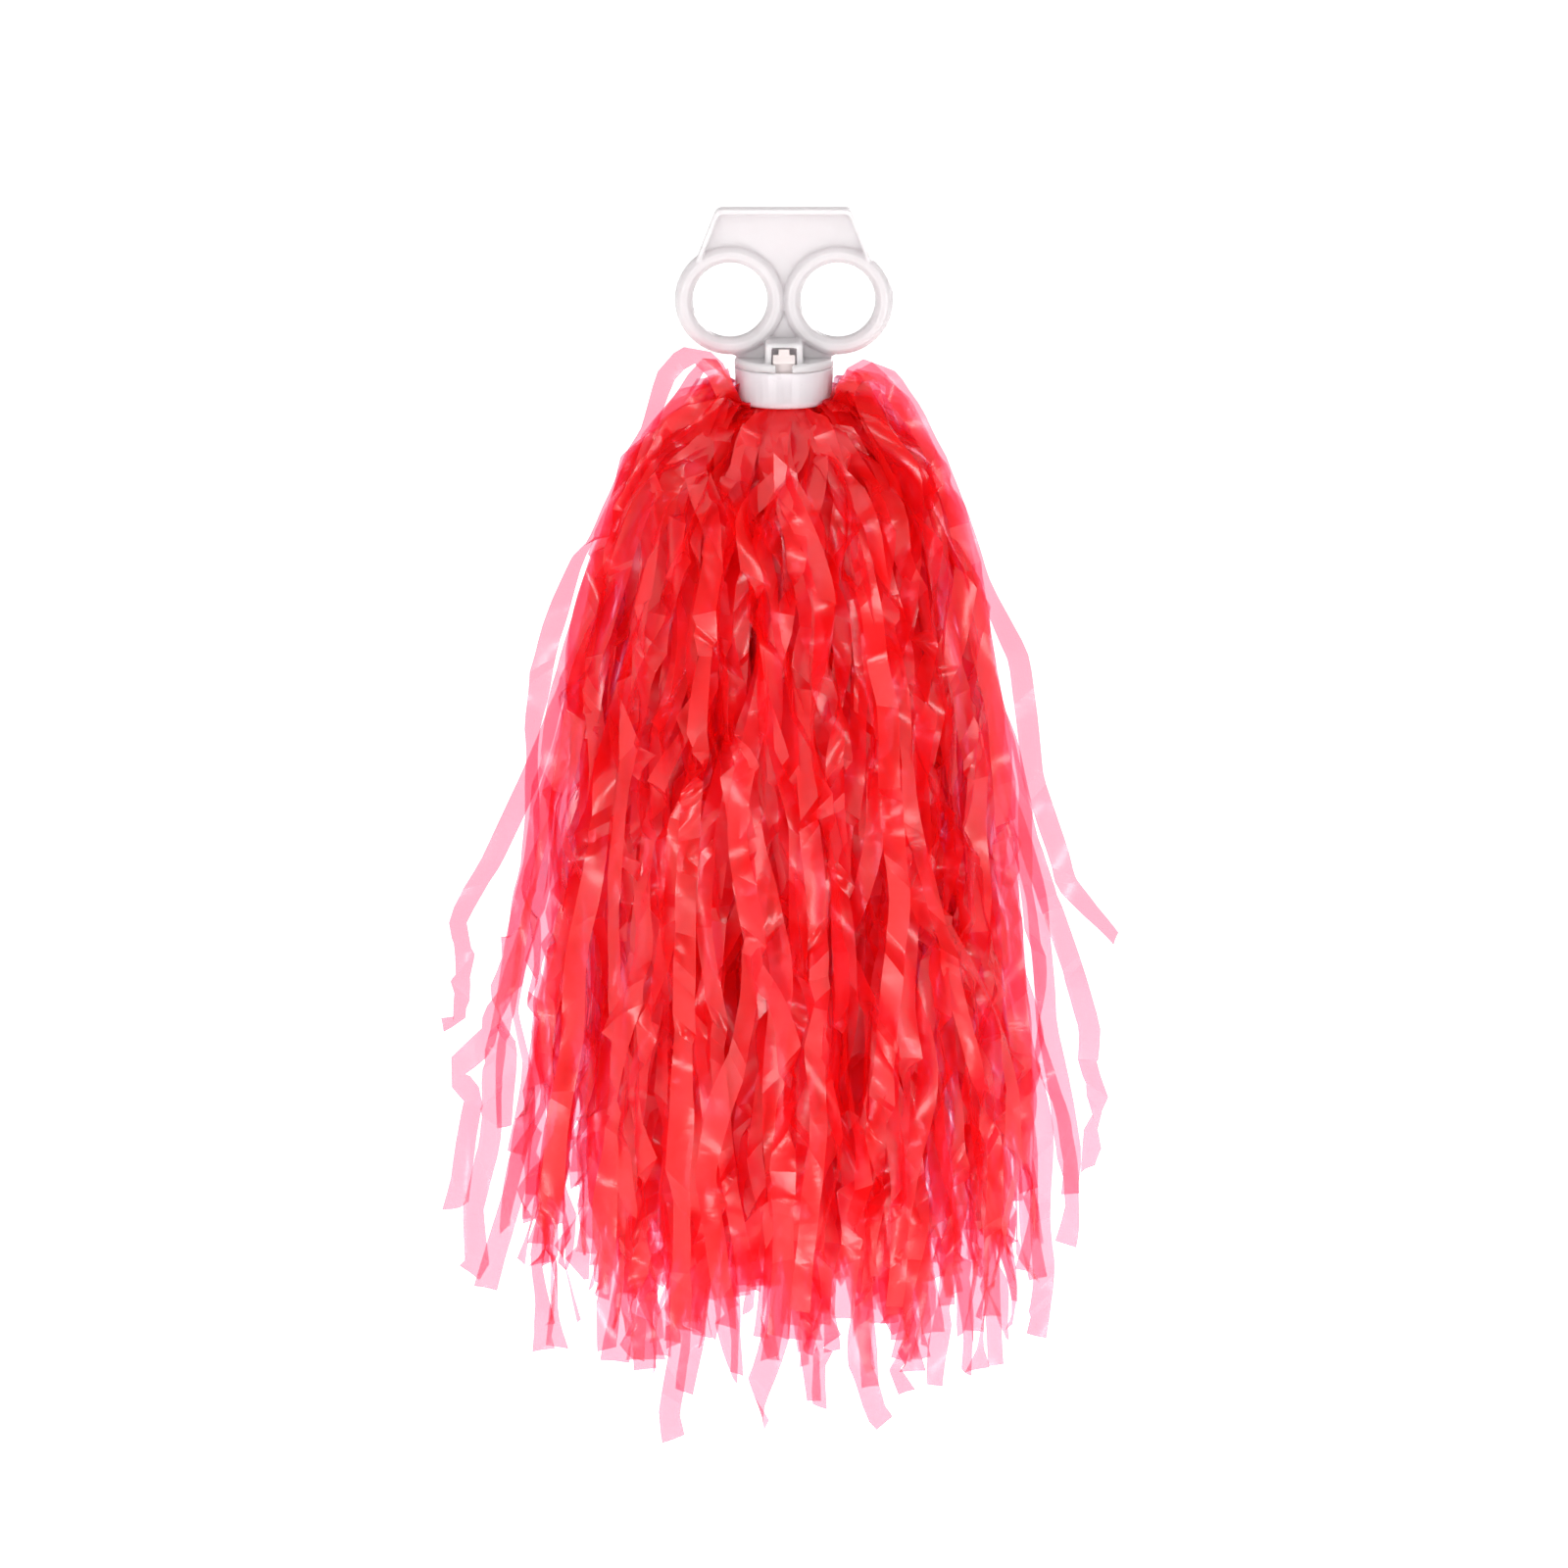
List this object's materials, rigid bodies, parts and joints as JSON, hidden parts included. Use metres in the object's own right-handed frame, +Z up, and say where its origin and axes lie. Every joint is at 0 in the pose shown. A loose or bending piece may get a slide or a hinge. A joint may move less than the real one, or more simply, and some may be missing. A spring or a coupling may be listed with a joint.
{
  "type": "cheer pom pom",
  "caption": "Cheer pom pom: a bell of long slit-film streamers hanging from a small collar cup under a flat handle with two finger rings.",
  "frame": {"origin": "centre of the flat palm face on top of the handle", "axes": "+Z up out of the palm face, along the pom pom's length; +X across the two finger rings; the finger holes run along Y and the front is towards -Y"},
  "size_m": [0.1959, 0.1565, 0.3677],
  "materials": {
    "handle_white": "gloss",
    "collar_white": "gloss",
    "tab_natural": "satin",
    "tie_wire": "satin",
    "film_bound": "satin",
    "film_red": "gloss"
  },
  "bodies": {
    "handle": {"handle_frame": "handle_white", "collar_cup": "collar_white", "bundle_head": "film_bound", "binding_tie": "tie_wire", "streamer_core_01": "film_red", "streamer_core_02": "film_red", "streamer_core_03": "film_red", "streamer_core_04": "film_red"},
    "latch_front": {"latch_tab_front": "tab_natural"},
    "latch_rear": {"latch_tab_rear": "tab_natural"},
    "outer_01": {"streamer_outer_01": "film_red"},
    "inner_01": {"streamer_inner_01": "film_red"},
    "outer_02": {"streamer_outer_02": "film_red"},
    "inner_02": {"streamer_inner_02": "film_red"},
    "outer_03": {"streamer_outer_03": "film_red"},
    "inner_03": {"streamer_inner_03": "film_red"},
    "outer_04": {"streamer_outer_04": "film_red"},
    "inner_04": {"streamer_inner_04": "film_red"},
    "outer_05": {"streamer_outer_05": "film_red"},
    "inner_05": {"streamer_inner_05": "film_red"},
    "outer_06": {"streamer_outer_06": "film_red"},
    "inner_06": {"streamer_inner_06": "film_red"},
    "outer_07": {"streamer_outer_07": "film_red"},
    "inner_07": {"streamer_inner_07": "film_red"},
    "outer_08": {"streamer_outer_08": "film_red"},
    "inner_08": {"streamer_inner_08": "film_red"},
    "outer_09": {"streamer_outer_09": "film_red"},
    "inner_09": {"streamer_inner_09": "film_red"},
    "outer_10": {"streamer_outer_10": "film_red"},
    "inner_10": {"streamer_inner_10": "film_red"}
  },
  "joints": [
    {"name": "latch_front_flex", "type": "hinge", "parent": "handle", "child": "latch_front", "pos_m": [0, -0.01165, -0.0512], "axis": [-1, 0, 0], "range_deg": [0, 8], "stiffness_Nm_per_rad": 0.02},
    {"name": "latch_rear_flex", "type": "hinge", "parent": "handle", "child": "latch_rear", "pos_m": [0, 0.01165, -0.0512], "axis": [1, 0, 0], "range_deg": [0, 8], "stiffness_Nm_per_rad": 0.02},
    {"name": "outer_01_swing", "type": "hinge", "parent": "handle", "child": "outer_01", "pos_m": [0, -0.0182, -0.0604], "axis": [-1, 0, 0], "range_deg": [0, 60]},
    {"name": "inner_01_swing", "type": "hinge", "parent": "handle", "child": "inner_01", "pos_m": [0, -0.0125, -0.064], "axis": [-1, 0, 0], "range_deg": [0, 36]},
    {"name": "outer_02_swing", "type": "hinge", "parent": "handle", "child": "outer_02", "pos_m": [0.0107, -0.01472, -0.0604], "axis": [-0.809, -0.5878, 0], "range_deg": [0, 60]},
    {"name": "inner_02_swing", "type": "hinge", "parent": "handle", "child": "inner_02", "pos_m": [0.00735, -0.01011, -0.064], "axis": [-0.809, -0.5878, 0], "range_deg": [0, 36]},
    {"name": "outer_03_swing", "type": "hinge", "parent": "handle", "child": "outer_03", "pos_m": [0.01731, -0.00562, -0.0604], "axis": [-0.309, -0.9511, 0], "range_deg": [0, 60]},
    {"name": "inner_03_swing", "type": "hinge", "parent": "handle", "child": "inner_03", "pos_m": [0.01189, -0.00386, -0.064], "axis": [-0.309, -0.9511, 0], "range_deg": [0, 36]},
    {"name": "outer_04_swing", "type": "hinge", "parent": "handle", "child": "outer_04", "pos_m": [0.01731, 0.00562, -0.0604], "axis": [0.309, -0.9511, 0], "range_deg": [0, 60]},
    {"name": "inner_04_swing", "type": "hinge", "parent": "handle", "child": "inner_04", "pos_m": [0.01189, 0.00386, -0.064], "axis": [0.309, -0.9511, 0], "range_deg": [0, 36]},
    {"name": "outer_05_swing", "type": "hinge", "parent": "handle", "child": "outer_05", "pos_m": [0.0107, 0.01472, -0.0604], "axis": [0.809, -0.5878, 0], "range_deg": [0, 60]},
    {"name": "inner_05_swing", "type": "hinge", "parent": "handle", "child": "inner_05", "pos_m": [0.00735, 0.01011, -0.064], "axis": [0.809, -0.5878, 0], "range_deg": [0, 36]},
    {"name": "outer_06_swing", "type": "hinge", "parent": "handle", "child": "outer_06", "pos_m": [0, 0.0182, -0.0604], "axis": [1, 0, 0], "range_deg": [0, 60]},
    {"name": "inner_06_swing", "type": "hinge", "parent": "handle", "child": "inner_06", "pos_m": [0, 0.0125, -0.064], "axis": [1, 0, 0], "range_deg": [0, 36]},
    {"name": "outer_07_swing", "type": "hinge", "parent": "handle", "child": "outer_07", "pos_m": [-0.0107, 0.01472, -0.0604], "axis": [0.809, 0.5878, 0], "range_deg": [0, 60]},
    {"name": "inner_07_swing", "type": "hinge", "parent": "handle", "child": "inner_07", "pos_m": [-0.00735, 0.01011, -0.064], "axis": [0.809, 0.5878, 0], "range_deg": [0, 36]},
    {"name": "outer_08_swing", "type": "hinge", "parent": "handle", "child": "outer_08", "pos_m": [-0.01731, 0.00562, -0.0604], "axis": [0.309, 0.9511, 0], "range_deg": [0, 60]},
    {"name": "inner_08_swing", "type": "hinge", "parent": "handle", "child": "inner_08", "pos_m": [-0.01189, 0.00386, -0.064], "axis": [0.309, 0.9511, 0], "range_deg": [0, 36]},
    {"name": "outer_09_swing", "type": "hinge", "parent": "handle", "child": "outer_09", "pos_m": [-0.01731, -0.00562, -0.0604], "axis": [-0.309, 0.9511, 0], "range_deg": [0, 60]},
    {"name": "inner_09_swing", "type": "hinge", "parent": "handle", "child": "inner_09", "pos_m": [-0.01189, -0.00386, -0.064], "axis": [-0.309, 0.9511, 0], "range_deg": [0, 36]},
    {"name": "outer_10_swing", "type": "hinge", "parent": "handle", "child": "outer_10", "pos_m": [-0.0107, -0.01472, -0.0604], "axis": [-0.809, 0.5878, 0], "range_deg": [0, 60]},
    {"name": "inner_10_swing", "type": "hinge", "parent": "handle", "child": "inner_10", "pos_m": [-0.00735, -0.01011, -0.064], "axis": [-0.809, 0.5878, 0], "range_deg": [0, 36]}
  ],
  "couplings": [
    {"joint": "inner_01_swing", "follows": "outer_01_swing", "ratio": 0.6},
    {"joint": "inner_02_swing", "follows": "outer_02_swing", "ratio": 0.6},
    {"joint": "inner_03_swing", "follows": "outer_03_swing", "ratio": 0.6},
    {"joint": "inner_04_swing", "follows": "outer_04_swing", "ratio": 0.6},
    {"joint": "inner_05_swing", "follows": "outer_05_swing", "ratio": 0.6},
    {"joint": "inner_06_swing", "follows": "outer_06_swing", "ratio": 0.6},
    {"joint": "inner_07_swing", "follows": "outer_07_swing", "ratio": 0.6},
    {"joint": "inner_08_swing", "follows": "outer_08_swing", "ratio": 0.6},
    {"joint": "inner_09_swing", "follows": "outer_09_swing", "ratio": 0.6},
    {"joint": "inner_10_swing", "follows": "outer_10_swing", "ratio": 0.6}
  ]
}
